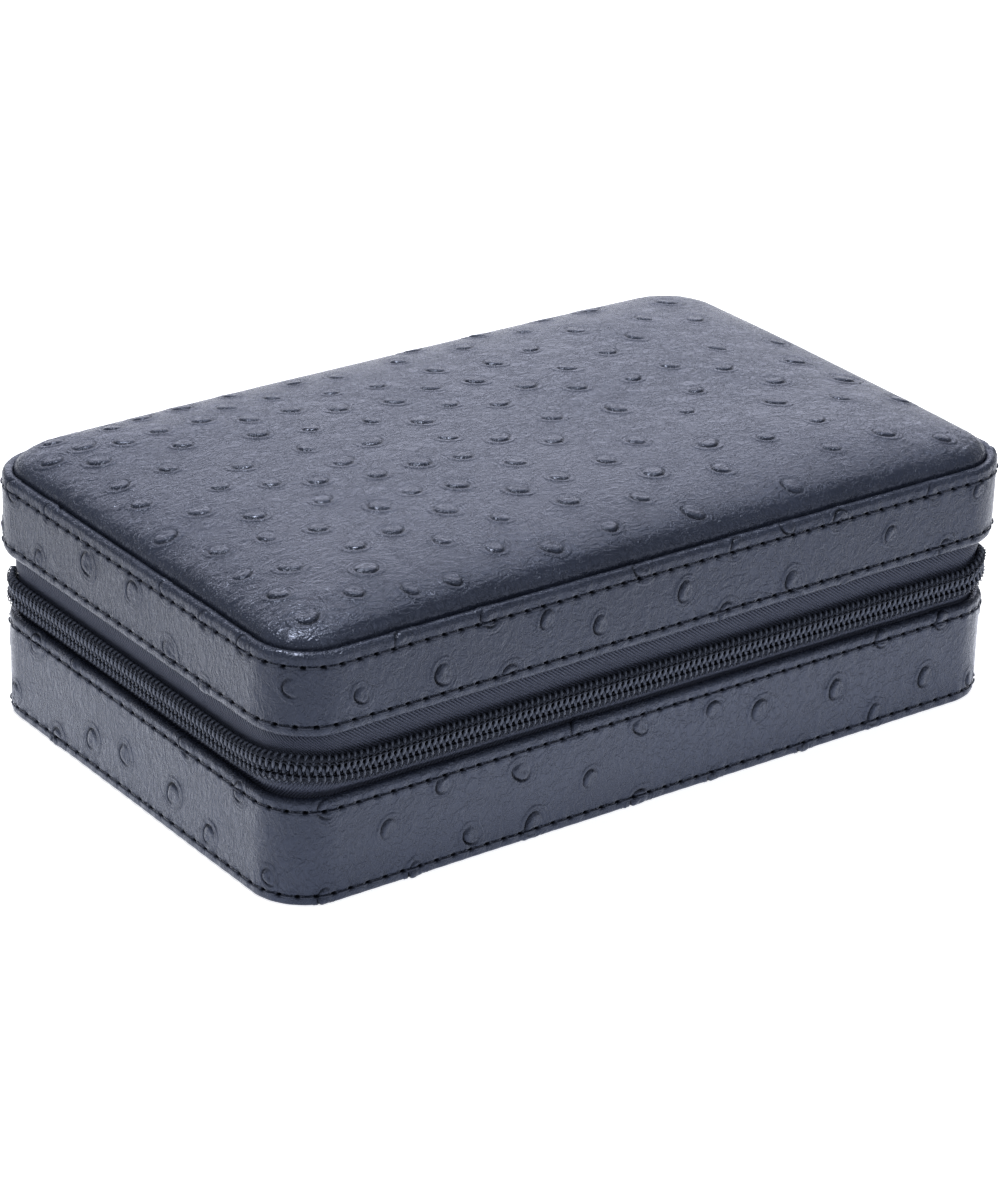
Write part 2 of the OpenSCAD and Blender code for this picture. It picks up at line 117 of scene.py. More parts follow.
class Tree:
    """A short way to write a material's nodes."""

    def __init__(self, name):
        self.material = bpy.data.materials.new(name)
        self.material.use_nodes = True
        self.tree = self.material.node_tree
        self.tree.nodes.clear()
        self.out = self.tree.nodes.new("ShaderNodeOutputMaterial")

    def node(self, kind, **inputs):
        n = self.tree.nodes.new("ShaderNode" + kind)
        for key, value in inputs.items():
            if key.startswith("_"):
                setattr(n, key[1:], value)
                continue
            socket = n.inputs[int(key[1:])] if key[0] == "i" and key[1:].isdigit() else n.inputs[key.replace("_", " ")]
            if isinstance(value, bpy.types.NodeSocket):
                self.tree.links.new(value, socket)
            else:
                socket.default_value = value
        return n

    def math(self, op, a, b=0.0, c=0.0):
        return self.node("Math", _operation=op, i0=a, i1=b, i2=c).outputs[0]

    def ramp(self, fac, stops):
        n = self.node("ValToRGB", Fac=fac)
        while len(n.color_ramp.elements) < len(stops):
            n.color_ramp.elements.new(0.5)
        for e, (at, value) in zip(n.color_ramp.elements, stops):
            e.position = at
            e.color = (value, value, value, 1) if np.isscalar(value) else (*value, 1)
        return n.outputs["Color"]

    def mix(self, fac, a, b):
        n = self.node("Mix", _data_type="RGBA")
        for socket, value in ((n.inputs[0], fac), (n.inputs[6], a), (n.inputs[7], b)):
            if isinstance(value, bpy.types.NodeSocket):
                self.tree.links.new(value, socket)
            else:
                socket.default_value = value if np.isscalar(value) else (*value, 1)
        return n.outputs[2]

    def place(self, scale=(1, 1, 1), rotate=(0, 0, 0)):
        coords = self.node("TexCoord").outputs["Object"]
        return self.node("Mapping", Vector=coords, Scale=scale, Rotation=rotate).outputs[0]

    def noise(self, vector, scale, detail=2.0, rough=0.5, distort=0.0):
        return self.node("TexNoise", Vector=vector, Scale=scale, Detail=detail, Roughness=rough,
                         Distortion=distort).outputs["Fac"]

    def bump(self, height, distance, strength):
        return self.node("Bump", Height=height, Distance=distance, Strength=strength).outputs["Normal"]

    def finish(self, shader):
        self.tree.links.new(shader, self.out.inputs["Surface"])
        return self.material


def leather(name, color, rough=0.27):
    """Fine-grained embossed leather: pores, wavy creases and soft tone changes, with painted shade in the creases and
    at the points the mesh marks as painted shade.
    """
    t = Tree(name)
    place = t.place()
    warp = t.node("TexNoise", Vector=place, Scale=210.0, Detail=2.0).outputs["Color"]
    warped = t.node("VectorMath", _operation="MULTIPLY_ADD", i0=warp, i1=(0.004, 0.004, 0.004), i2=place).outputs[0]
    along = t.node("Mapping", Vector=warped, Scale=(1.0, 2.6, 1.0), Rotation=(0.35, 0.5, 0.62)).outputs[0]
    swell = t.noise(along, 560.0, 2.0, 0.45, 0.7)
    creases = t.ramp(swell, [(0.45, 1.0), (0.485, 0.0), (0.52, 1.0)])
    across = t.node("Mapping", Vector=warped, Scale=(2.4, 1.0, 1.3), Rotation=(0.9, -0.3, -0.4)).outputs[0]
    fine = t.noise(across, 1200.0, 1.0, 0.4, 0.3)
    cracks = t.ramp(fine, [(0.44, 1.0), (0.49, 0.0), (0.54, 1.0)])
    pores = t.node("TexVoronoi", Vector=warped, Scale=1700.0).outputs["Distance"]
    broad = t.noise(place, 48.0, 3.0)
    worn = t.ramp(broad, [(0.35, 0.35), (0.65, 1.0)])
    height = t.math("MULTIPLY_ADD", swell, 0.6, t.math("MULTIPLY", fine, 0.16))
    height = t.math("MULTIPLY_ADD", t.math("MULTIPLY", creases, worn), 0.15, height)
    height = t.math("MULTIPLY_ADD", cracks, 0.03, height)
    height = t.math("MULTIPLY_ADD", pores, 0.03, height)
    normal = t.bump(height, 0.00038, 1.0)
    # The mesh's painted shade mark: quill cuts and pits, stitch holes, the line under the thread and the panel's seam.
    dent = t.node("Attribute", _attribute_name="dent").outputs["Fac"]
    # Painted shade: this colour darkens the crease lines, the grooves of the bump, below.
    dark = tuple(c * 0.3 for c in color)
    pale = tuple(min(1.0, c * 1.3) for c in color)
    tone = t.mix(t.ramp(broad, [(0.3, 0.0), (0.7, 1.0)]), tuple(c * 0.84 for c in color), pale)
    tone = t.mix(t.math("MULTIPLY", t.math("SUBTRACT", 1.0, creases), 0.4), tone, dark)
    # Painted shade: marked points darken to near black, and below they lose most of their specular.
    tone = t.mix(dent, tone, tuple(c * 0.08 for c in color))
    roughness = t.math("MULTIPLY_ADD", broad, 0.16, t.math("MULTIPLY", fine, 0.14))
    roughness = t.math("ADD", roughness, rough - 0.15)
    shine = t.math("MULTIPLY_ADD", dent, -0.5, 0.5)
    shader = t.node("BsdfPrincipled", Base_Color=tone, Roughness=roughness, Normal=normal, Specular_IOR_Level=shine)
    shader.inputs["Specular Tint"].default_value = (0.68, 0.76, 1.0, 1)
    return t.finish(shader.outputs[0])


# A Wave texture repeats every 0.314 / scale, so this gives ribs 0.5 mm apart.
TWILL_SCALE = 0.314 / 0.5


def twill(name, color):
    """Woven zip tape: fine slanting ribs, in the tape's own flat coordinates, with painted shade in the grooves and
    painted highlight on the crests.
    """
    t = Tree(name)
    uv = t.node("UVMap").outputs["UV"]
    turned = t.node("Mapping", Vector=uv, Rotation=(0, 0, math.radians(52))).outputs[0]
    ribs = t.node("TexWave", Vector=turned, Scale=TWILL_SCALE, Distortion=0.6, Detail=1.0,
                  Detail_Scale=2.0).outputs["Fac"]
    picks = t.node("TexWave", Vector=uv, Scale=TWILL_SCALE, _bands_direction="X").outputs["Fac"]
    fuzz = t.noise(t.place(), 2600.0, 2.0)
    height = t.math("ADD", t.math("MULTIPLY", ribs, 0.6), t.math("MULTIPLY", picks, 0.25))
    height = t.math("ADD", height, t.math("MULTIPLY", fuzz, 0.3))
    # Painted shade and highlight: darker in the grooves between the ribs, paler on their crests.
    tone = t.mix(height, tuple(c * 0.35 for c in color), tuple(c * 1.9 for c in color))
    shader = t.node("BsdfPrincipled", Base_Color=tone, Roughness=0.5, Normal=t.bump(height, 0.00022, 1.0))
    shader.inputs["Specular Tint"].default_value = (0.7, 0.78, 1.0, 1)
    return t.finish(shader.outputs[0])


def suede(name, color):
    """Microfibre lining: short nap with brushed patches."""
    t = Tree(name)
    place = t.place()
    nap = t.noise(place, 2400.0, 3.0, 0.7)
    brushed = t.noise(t.node("Mapping", Vector=place, Scale=(1, 1.8, 1.2)).outputs[0], 70.0, 3.0, 0.6, 0.8)
    dull, bright = tuple(c * 0.8 for c in color), tuple(c * 1.25 for c in color)
    tone = t.mix(t.ramp(brushed, [(0.32, 0.0), (0.68, 1.0)]), dull, bright)
    # Painted shade: the colour darkens where the nap is low.
    tone = t.mix(t.ramp(nap, [(0.4, 0.35), (0.6, 0.0)]), tone, tuple(c * 0.5 for c in color))
    shader = t.node("BsdfPrincipled", Base_Color=tone, Roughness=0.9, Normal=t.bump(nap, 0.00015, 0.7))
    shader.inputs["Sheen Weight"].default_value = 0.35
    shader.inputs["Sheen Roughness"].default_value = 0.4
    return t.finish(shader.outputs[0])


def nylon(name, color, rough=0.22):
    """Drawn monofilament: glossy, with faint streaks."""
    t = Tree(name)
    streaks = t.noise(t.place(scale=(1, 1, 3)), 1800.0, 2.0)
    tone = t.mix(streaks, tuple(c * 0.7 for c in color), tuple(c * 1.5 for c in color))
    shader = t.node("BsdfPrincipled", Base_Color=tone, Roughness=t.math("MULTIPLY_ADD", streaks, 0.12, rough - 0.06),
                    Normal=t.bump(streaks, 0.00002, 0.4))
    shader.inputs["Specular Tint"].default_value = (0.72, 0.8, 1.0, 1)
    return t.finish(shader.outputs[0])


def thread(name, color):
    t = Tree(name)
    place = t.place(rotate=(0.5, 0.6, 0.7))
    fibres = t.node("TexWave", Vector=place, Scale=1500.0, Distortion=1.5, Detail=2.0).outputs["Fac"]
    # Painted shade and highlight: darker between the fibres, paler on them.
    tone = t.mix(fibres, tuple(c * 0.5 for c in color), tuple(c * 1.4 for c in color))
    shader = t.node("BsdfPrincipled", Base_Color=tone, Roughness=0.55, Normal=t.bump(fibres, 0.00004, 0.8))
    shader.inputs["Specular Tint"].default_value = (0.68, 0.76, 1.0, 1)
    return t.finish(shader.outputs[0])


def enamel(name, color):
    """Black enamelled casting with a faint orange peel and worn patches."""
    t = Tree(name)
    place = t.place()
    peel = t.noise(place, 1400.0, 2.0)
    wear = t.ramp(t.noise(place, 420.0, 4.0, 0.7), [(0.6, 0.0), (0.72, 0.5)])
    tone = t.mix(wear, color, tuple(c * 2.5 + 0.02 for c in color))
    shader = t.node("BsdfPrincipled", Base_Color=tone, Roughness=t.math("MULTIPLY_ADD", peel, 0.1, 0.22),
                    Metallic=0.6, Normal=t.bump(peel, 0.00003, 0.35))
    return t.finish(shader.outputs[0])


def board(name, color):
    t = Tree(name)
    fibres = t.noise(t.place(scale=(1, 1, 6)), 900.0, 4.0, 0.7)
    tone = t.mix(fibres, tuple(c * 0.8 for c in color), tuple(min(1, c * 1.2) for c in color))
    shader = t.node("BsdfPrincipled", Base_Color=tone, Roughness=0.9, Normal=t.bump(fibres, 0.0001, 0.5))
    return t.finish(shader.outputs[0])


def silvered(name):
    t = Tree(name)
    haze = t.noise(t.place(), 60.0, 3.0)
    shader = t.node("BsdfPrincipled", Base_Color=t.mix(haze, (0.84, 0.87, 0.88), (0.88, 0.9, 0.91)),
                    Roughness=t.math("MULTIPLY_ADD", haze, 0.02, 0.01))
    shader.inputs["Metallic"].default_value = 1.0
    return t.finish(shader.outputs[0])


NAVY = (0.013, 0.016, 0.026)
BLACK_ENAMEL = (0.022, 0.022, 0.026)
MATERIALS = {
    "band_leather": leather("band_leather", NAVY),
    "top_leather": leather("top_leather", NAVY, rough=0.26),
    "bottom_leather": leather("bottom_leather", (0.014, 0.016, 0.024), rough=0.36),
    "spine_leather": leather("spine_leather", NAVY),
    "lining": suede("lining", (0.075, 0.075, 0.088)),
    "divider_suede": suede("divider_suede", (0.09, 0.09, 0.104)),
    "roll_suede": suede("roll_suede", (0.105, 0.105, 0.12)),
    "zip_tape": twill("zip_tape", (0.022, 0.025, 0.038)),
    "zip_coil": nylon("zip_coil", (0.030, 0.034, 0.047), 0.17),
    "zip_cord": thread("zip_cord", (0.006, 0.007, 0.011)),
    "slider_metal": enamel("slider_metal", BLACK_ENAMEL),
    "pull_metal": enamel("pull_metal", BLACK_ENAMEL),
    "board": board("board", (0.030, 0.029, 0.030)),
    "foam": board("foam", (0.55, 0.55, 0.5)),
    "mirror": silvered("mirror"),
    "thread": thread("thread", (0.018, 0.021, 0.032)),
}

# ---- mesh helpers ----


def add_mesh(name, verts, faces, slot, body, dent=None, uv=None):
    """A mesh from millimetre points and equal-sided faces, riding on a body."""
    verts = np.asarray(verts, float)
    faces = np.asarray(faces, int)
    mesh = bpy.data.meshes.new(name)
    sides = faces.shape[1]
    mesh.vertices.add(len(verts))
    mesh.vertices.foreach_set("co", (verts * MM).ravel())
    mesh.loops.add(faces.size)
    mesh.loops.foreach_set("vertex_index", faces.ravel())
    mesh.polygons.add(len(faces))
    mesh.polygons.foreach_set("loop_start", np.arange(0, faces.size, sides))
    mesh.polygons.foreach_set("loop_total", np.full(len(faces), sides))
    mesh.polygons.foreach_set("use_smooth", np.full(len(faces), True))
    if dent is not None:
        layer = mesh.attributes.new("dent", "FLOAT", "POINT")
        layer.data.foreach_set("value", np.clip(dent, 0, 1))
    if uv is not None:
        layer = mesh.uv_layers.new(name="UVMap")
        layer.data.foreach_set("uv", np.asarray(uv)[faces.ravel()].ravel())
    mesh.update()
    mesh.validate()
    obj = bpy.data.objects.new(name, mesh)
    bpy.context.collection.objects.link(obj)
    obj.data.materials.append(MATERIALS[slot])
    if body:
        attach(obj, body)
    return obj


def grid_faces(rows, cols, wrap_rows=False, wrap_cols=False):
    """Quads over a rows by cols grid of points."""
    r = np.arange(rows if wrap_rows else rows - 1)
    c = np.arange(cols if wrap_cols else cols - 1)
    a, b = np.meshgrid(r, c, indexing="ij")
    a2, b2 = (a + 1) % rows, (b + 1) % cols
    return np.stack([a * cols + b, a2 * cols + b, a2 * cols + b2, a * cols + b2], -1).reshape(-1, 4)


def arc(cx, cy, r, a0, a1, n=10):
    """Points of an arc in a profile, as [inset, height]."""
    a = np.radians(np.linspace(a0, a1, n))
    return np.stack([cx + r * np.cos(a), cy + r * np.sin(a)], -1)


def resample(points, step):
    """A polyline's points at an even spacing, with the length along it."""
    points = np.asarray(points, float)
    length = np.concatenate([[0], np.cumsum(np.hypot(*np.diff(points, axis=0).T))])
    at = np.linspace(0, length[-1], max(2, int(round(length[-1] / step)) + 1))
    return np.stack([np.interp(at, length, points[:, i]) for i in (0, 1)], -1), at


def case_path(s):
    """The outline at arc length s from the middle of the back, by way of the left side.

    Gives the centre line of the corner arcs and the outward normal, so that a
    point at inset d is centre + normal * (CORNER_R - d).
    """
    s = np.mod(np.asarray(s, float), PERIMETER)
    centre = np.zeros(s.shape + (2,))
    angle = np.zeros(s.shape)
    parts = [
        ("x", SX, 0, SY, -1, 0, 90), ("c", QUARTER, -SX, SY, 0, 0, 90),
        ("x", 2 * SY, -SX, SY, 0, -1, 180), ("c", QUARTER, -SX, -SY, 0, 0, 180),
        ("x", 2 * SX, -SX, -SY, 1, 0, 270), ("c", QUARTER, SX, -SY, 0, 0, 270),
        ("x", 2 * SY, SX, -SY, 0, 1, 360), ("c", QUARTER, SX, SY, 0, 0, 360),
        ("x", SX, SX, SY, -1, 0, 450)]
    start = 0.0
    for kind, length, x, y, dx, dy, a in parts:
        m = (s >= start - 1e-9) & (s <= start + length + 1e-9)
        t = s[m] - start
        centre[m, 0] = x + dx * t
        centre[m, 1] = y + dy * t
        angle[m] = a + (np.degrees(t / CORNER_R) if kind == "c" else 0)
        start += length
    rad = np.radians(angle)
    return centre, np.stack([np.cos(rad), np.sin(rad)], -1)


def on_case(s, inset, z):
    """Points in space from arc length, inset and height arrays of one shape."""
    centre, normal = case_path(s)
    flat = centre + normal * (CORNER_R - np.asarray(inset, float))[..., None]
    return np.concatenate([flat, np.asarray(z, float)[..., None]], -1)


S_LEFT = SX + QUARTER                    # start of the left side
S_FRONT = S_LEFT + 2 * SY + QUARTER      # start of the front
S_RIGHT = S_FRONT + 2 * SX + QUARTER     # start of the right side

# ---- quill bumps ----


def scatter(width, height, spacing, edge, wrap=False):
    """Irregular points over a strip, none nearer than the spacing there asks."""
    points = []
    tries = int(width * height / 3)
    xs = rng.uniform(0 if wrap else edge, width if wrap else width - edge, tries)
    ys = rng.uniform(edge, height - edge, tries)
    for x, y in zip(xs, ys):
        need = spacing(x, y)
        ok = True
        for px, py in points:
            dx = abs(x - px)
            if wrap:
                dx = min(dx, width - dx)
            if dx * dx + (y - py) ** 2 < need * need:
                ok = False
                break
        if ok:
            points.append((x, y))
    return points


def quill(dx, dy, size, turn, lift):
    """Height and painted shade of one quill bump at offsets from its middle, in mm."""
    c, s = math.cos(turn), math.sin(turn)
    p, q = (c * dx + s * dy) / (size * 0.9), (c * dy - s * dx) / (size * 1.1)
    r = np.hypot(p, q)
    side = 0.5 + 0.5 * p / (r + 1e-6)
    wave = 0.10 * np.sin(3 * np.arctan2(q, p) + 5 * turn)
    edge = r + wave * 0.6
    dome = np.clip(1 - edge ** 3, 0, 1) ** 0.7 * (0.30 + 0.70 * np.clip(0.5 + 0.55 * p, 0, 1))
    cut = np.exp(-((edge - 1.08) / 0.11) ** 2) * side ** 1.6
    swell = np.exp(-((r - 1.45) / 0.34) ** 2) * (0.25 + 0.75 * side) * 0.12
    rings = np.cos(r * 15.0 + 6 * wave) * np.exp(-((r - 1.65) / 0.42) ** 2) * 0.06
    pit = np.exp(-(((p + 0.2) / 0.30) ** 2 + ((q - 0.1) / 0.42) ** 2)) * 0.14
    height = lift * (0.42 * dome - 0.30 * cut + swell + rings - pit)
    # The second value is painted shade: the cut groove and the pit are painted dark.
    return height, np.clip(lift * (1.05 * cut + 0.10 * pit), 0, 1)


QUILL_SIZES = (1.35, 1.85)


def add_quills(height, dent, us, vs, points, wrap=0.0):
    """Adds every bump to the height field, and its painted shade to the shade field, over the grid us by vs."""
    for x, y in points:
        size = rng.uniform(*QUILL_SIZES)
        turn = rng.uniform(-1.0, 1.0) + math.pi
        lift = rng.uniform(0.9, 1.4)
        reach = size * 3.2
        du = us - x
        if wrap:
            du = (du + wrap / 2) % wrap - wrap / 2
        iu = np.nonzero(np.abs(du) < reach)[0]
        iv = np.nonzero(np.abs(vs - y) < reach)[0]
        if not len(iu) or not len(iv):
            continue
        h, d = quill(du[iu][:, None], (vs[iv] - y)[None, :], size, turn, lift)
        where = np.ix_(iu, iv)
        height[where] += h
        dent[where] = np.maximum(dent[where], d)


def soft_noise(us, vs, wave, seed):
    """Gentle swells: a few sine waves in random directions."""
    r = np.random.default_rng(seed)
    total = np.zeros((len(us), len(vs)))
    for _ in range(9):
        a, k, ph = r.uniform(0, math.tau), math.tau / (wave * r.uniform(0.6, 1.7)), r.uniform(0, math.tau)
        total += np.sin(k * math.cos(a) * us[:, None] + k * math.sin(a) * vs[None, :] + ph)
    return total / 9


# ---- leather bands ----

GRID = 0.21


def stitch_field(us, vs, row, pitch, phase):
    """The pressed line of a stitch row with its needle holes, and the painted shade of the holes and of a thin line
    under the thread.
    """
    dv = vs - row
    ds = (us - phase + pitch / 2) % pitch - pitch / 2
    line = -0.12 * np.exp(-(dv / 0.30) ** 2)
    hole = -0.50 * np.exp(-(ds / 0.55) ** 4)[:, None] * np.exp(-(dv / 0.27) ** 2)[None, :]
    pucker = 0.07 * np.cos(math.tau * ds / pitch)[:, None] * -np.exp(-(dv / 1.3) ** 2)[None, :]
    # Painted shade: a thin dark line under the thread, and dark needle holes.
    shade = 0.2 * np.exp(-((dv + 0.2) / 0.16) ** 2)[None, :]
    dark = shade + np.exp(-(ds / 0.62) ** 4)[:, None] * np.exp(-(dv / 0.3) ** 4)[None, :]
    return line[None, :] + hole + pucker, dark


def leather_band(name, node, profile, body, rows, quill_rows, seed):
    """A band swept round the case from a closed profile, embossed and stitched.

    rows are (height on the profile, pitch, phase); the stitches are added too.
    """
    pts, at = resample(profile, GRID)
    ns = int(round(PERIMETER / GRID))
    us = np.arange(ns) * PERIMETER / ns
    tangent = np.gradient(pts, axis=0)
    tangent /= np.hypot(*tangent.T)[:, None]
    out_in, out_z = -tangent[:, 1], tangent[:, 0]  # outward normal in [inset, z], by the profile's sense
    heights = {}

    def place_of(z):
        side = pts[:, 0] < 1.6
        return at[side][np.argmin(np.abs(pts[side, 1] - z))]

    h = np.zeros((ns, len(at)))
    dent = np.zeros_like(h)
    lo, hi = quill_rows
    v0, v1 = place_of(lo), place_of(hi)
    low, high = min(v0, v1), max(v0, v1)
    spots = scatter(PERIMETER, high - low, lambda x, y: 11.2, 0.0, wrap=True)
    add_quills(h, dent, us, at, [(x, y + low) for x, y in spots], wrap=PERIMETER)
    h += 0.06 * soft_noise(us, at, 22.0, seed)
    for z, pitch, phase in rows:
        v = place_of(z)
        count = round(PERIMETER / pitch)
        step = PERIMETER / count
        press, dark = stitch_field(us, at, v, step, phase)
        near = np.exp(-((at - v) / 0.55) ** 2)[None, :]
        h = h * (1 - 0.8 * near) + press
        # Near the stitch rows the rows' painted shade takes the place of the quills'.
        dent = np.maximum(dent * (1 - near), dark)
        heights[z] = (v, step, phase)
    back = np.clip((pts[:, 0] - 2.4) / 0.3, 0, 1)[None, :]
    h = h * (1 - back)
    s = np.repeat(us[:, None], len(at), 1)
    inset = pts[None, :, 0] + h * out_in[None, :]
    z = pts[None, :, 1] + h * out_z[None, :]
    verts = on_case(s, inset, z).reshape(-1, 3)
    obj = add_mesh(name, verts, grid_faces(ns, len(at), wrap_rows=True)[:, ::-1], "band_leather", body,
                   dent=dent.ravel())
    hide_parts(node)
    for k, (z, (v, step, phase)) in enumerate(heights.items()):
        j = int(np.argmin(np.abs(at - v)))
        stitch_row(f"{name}_stitches_{k + 1}", pts[j], (out_in[j], out_z[j]), step, phase, body)
    return obj


def tube_strings(paths, radius, sides):
    """Tubes along many paths of one shape (count, points, 3), with pinched ends."""
    paths = np.asarray(paths, float)
    count, n, _ = paths.shape
    tangent = np.gradient(paths, axis=1)
    tangent /= np.linalg.norm(tangent, axis=2, keepdims=True)
    up = np.zeros_like(tangent)
    up[..., 2] = 1.0
    side = np.cross(tangent, up)
    weak = np.linalg.norm(side, axis=2) < 0.2
    side[weak] = np.cross(tangent[weak], np.array([0.6, 0.8, 0.0]))
    side /= np.linalg.norm(side, axis=2, keepdims=True)
    other = np.cross(tangent, side)
    a = np.arange(sides) / sides * math.tau
    radius = np.broadcast_to(radius, (count, n))
    cos, sin = np.cos(a)[None, None, :, None], np.sin(a)[None, None, :, None]
    ring = side[:, :, None, :] * cos + other[:, :, None, :] * sin
    verts = paths[:, :, None, :] + ring * radius[:, :, None, None]
    one = grid_faces(n, sides, wrap_cols=True)
    faces = (one[None] + (np.arange(count) * n * sides)[:, None, None]).reshape(-1, 4)
    return verts.reshape(-1, 3), faces


def stitch_row(name, place, out, step, phase, body):
    """Thread lying from hole to hole."""
    count = round(PERIMETER / step)
    t = np.linspace(0.14, 0.86, 9)
    s = phase + (np.arange(count)[:, None] + t[None, :]) * step
    rise = 0.02 + 0.17 * np.sin(np.pi * t) ** 0.5 - 0.3 * (np.abs(t - 0.5) > 0.4)
    paths = on_case(s, place[0] + out[0] * rise + 0 * s, place[1] + out[1] * rise + 0 * s)
    radius = np.full(t.shape, 0.17)
    radius[[0, -1]] = 0.08
    verts, faces = tube_strings(paths, radius[None, :], 6)
    return add_mesh(name, verts, faces, "thread", body)


lid_profile = np.concatenate([
    [[BAND_T, LID_EDGE + 9.0]],
    arc(BAND_T - 1.2, LID_EDGE + 1.2, 1.2, 360, 270),
    arc(1.2, LID_EDGE + 1.2, 1.2, 270, 180),
    arc(RIM_W / 2 + 0.1, RIM_TOP - RIM_W / 2 - 0.1, RIM_W / 2 + 0.1, 180, 0, 18)[:-3],
    [[RIM_W + 0.1, RIM_TOP - 2.4]],
])
leather_band("lid_leather_band", "lid_band", lid_profile, "lid",
             [(45.0, 3.42, 0.6), (34.0, 3.595, 1.4)], (32.1, 46.9), 3)
base_edge = (BAND_T - BASE_IN) / 2
base_profile = np.concatenate([
    [[BOARD_IN, BASE_FOOT + 0.1]],
    arc(BASE_IN + FOOT_R, BASE_FOOT + FOOT_R, FOOT_R, 270, 180, 8),
    arc(BASE_IN + base_edge, BASE_TOP - base_edge, base_edge, 180, 0, 16),
    [[BAND_T, BASE_TOP - 9.0]],
])
leather_band("base_leather_band", "base_band", base_profile, "base",
             [(17.7, 3.528, 2.2), (1.7, 3.55, 0.9)], (1.0, 19.6), 5)

# ---- padded top panel ----

PANEL_IN = HL - panel_hi[0]
PANEL_EDGE = RIM_TOP - 0.7
CROWN = panel_hi[2] - PANEL_EDGE
CROWN_FLAT, CROWN_ROUND, CROWN_CORNER = 3.0, 0.32, 0.27


def gauge(x, y, a, b, r):
    """1 on the rounded rectangle's outline, 0 in its middle."""
    x, y = np.abs(x), np.abs(y)
    t = np.maximum(x / a, y / b)
    cx, cy = a - r, b - r
    # corner arcs: |(x, y) / t - (cx, cy)| = r, solved for 1 / t
    qa = x * x + y * y + 1e-12
    qb = -2 * (x * cx + y * cy)
    qc = cx * cx + cy * cy - r * r
    root = (-qb + np.sqrt(np.maximum(qb * qb - 4 * qa * qc, 0))) / (2 * qa)
    corner = (x * root > cx) & (y * root > cy)
    return np.where(corner, 1 / np.maximum(root, 1e-9), t)


def crown_height(t, x, y):
    corner = 1 - CROWN_CORNER * (np.abs(x * y) / (HL * HW)) ** 3
    return PANEL_EDGE + CROWN * np.clip(1 - t ** CROWN_FLAT, 0, 1) ** CROWN_ROUND * corner


def edge_spacing(half, step):
    """Places from -half to half, closer near both ends."""
    lead = np.array([0, 0.01, 0.03, 0.07, 0.14, 0.25, 0.4, 0.6, 0.8])
    inner = half - 1.0
    middle = np.linspace(-inner, inner, int(round(2 * inner / step)) + 1)
    return np.concatenate([-half + lead, middle, (half - lead)[::-1]])


def top_panel():
    a, b, r = HL - PANEL_IN, HW - PANEL_IN, CORNER_R - PANEL_IN
    ys = edge_spacing(b, GRID)
    us = edge_spacing(a, GRID) / a
    over = np.clip(np.abs(ys) - (b - r), 0, r)
    half = a - r + np.sqrt(np.maximum(r * r - over ** 2, 0))
    x = us[:, None] * half[None, :]
    y = np.repeat(ys[None, :], len(us), 0)
    t = gauge(x, y, a, b, r)
    z = crown_height(t, x, y)
    h = np.zeros_like(x)
    dent = np.zeros_like(x)
    spots = scatter(2 * a, 2 * b, lambda px, py: 7.4 + 3.6 * px / (2 * a) - 0.5 * py / b, 4.0)
    for px, py in spots:
        px, py = px - a, py - b
        if gauge(np.array(px), np.array(py), a - 3, b - 3, r - 3) > 1:
            continue
        size = rng.uniform(*QUILL_SIZES)
        turn = rng.uniform(-0.7, 0.7) - 2.1
        lift = rng.uniform(0.7, 1.1)
        near = (np.abs(x - px) < 6) & (np.abs(y - py) < 6)
        hh, dd = quill(x[near] - px, y[near] - py, size, turn, lift)
        h[near] += hh
        dent[near] = np.maximum(dent[near], dd)
    fade = np.clip((1 - t) * b / 1.5, 0, 1)
    h *= fade
    h += 0.10 * soft_noise(us * a, ys, 30.0, 11) * fade
    pulled = (np.abs(x * y) / (HL * HW)) ** 4
    h += 0.30 * pulled * soft_noise(us * a, ys, 2.6, 12) * fade
    p = np.stack([x, y, z], -1)
    gu, gv = np.gradient(p, axis=0), np.gradient(p, axis=1)
    n = np.cross(gu, gv)
    n /= np.linalg.norm(n, axis=2, keepdims=True)
    p = p + n * h[..., None]
    verts = p.reshape(-1, 3)
    rows, cols = x.shape
    faces = grid_faces(rows, cols)
    idx = np.arange(rows * cols).reshape(rows, cols)
    rim = np.concatenate([idx[:-1, 0], idx[-1, :-1], idx[:0:-1, -1], idx[0, :0:-1]])
    wall = verts[rim].copy()
    loops = []
    extra = [verts]
    count = len(verts)
    last = rim
    for drop, pull in ((0.5, 0.0), (1.1, 0.05), (1.6, 0.5), (1.7, 1.2)):
        ring = wall.copy()
        ring[:, :2] *= 1 - pull / 60
        ring[:, 2] -= drop
        extra.append(ring)
        new = np.arange(len(rim)) + count
        nxt = np.roll(np.arange(len(rim)), -1)
        loops.append(np.stack([last, new, new[nxt], last[nxt]], -1))
        last = new
        count += len(rim)
    # The panel's edge tucked down into the seam is painted 0.8 shade.
    obj = add_mesh("lid_top_leather", np.concatenate(extra), np.concatenate([faces] + loops), "top_leather", "lid",
                   dent=np.concatenate([dent.ravel(), np.full(4 * len(rim), 0.8)]))
    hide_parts("lid_top_panel")
    return obj


top_panel()

# ---- zip ----

POST_Y = 2.6
COIL_PART = 0.75
SLIDER_PARK, SLIDER_HALF = 1.6, 5.5
SLIDER_Y = SY - SLIDER_PARK - SLIDER_HALF
COIL_TAIL = 5.8
COIL_END = SLIDER_Y + COIL_TAIL
S_CHAIN = SX + CORNER_R * math.radians(40)
S_CHAIN_END = S_RIGHT + SY + COIL_END


def parted(points):
    """How far the slider lifts the chain away from its middle at these points."""
    right = points[..., 0] > SX + 5
    return np.where(right, np.clip((points[..., 1] - SLIDER_Y) / POST_Y, 0, 1) * COIL_PART, 0)


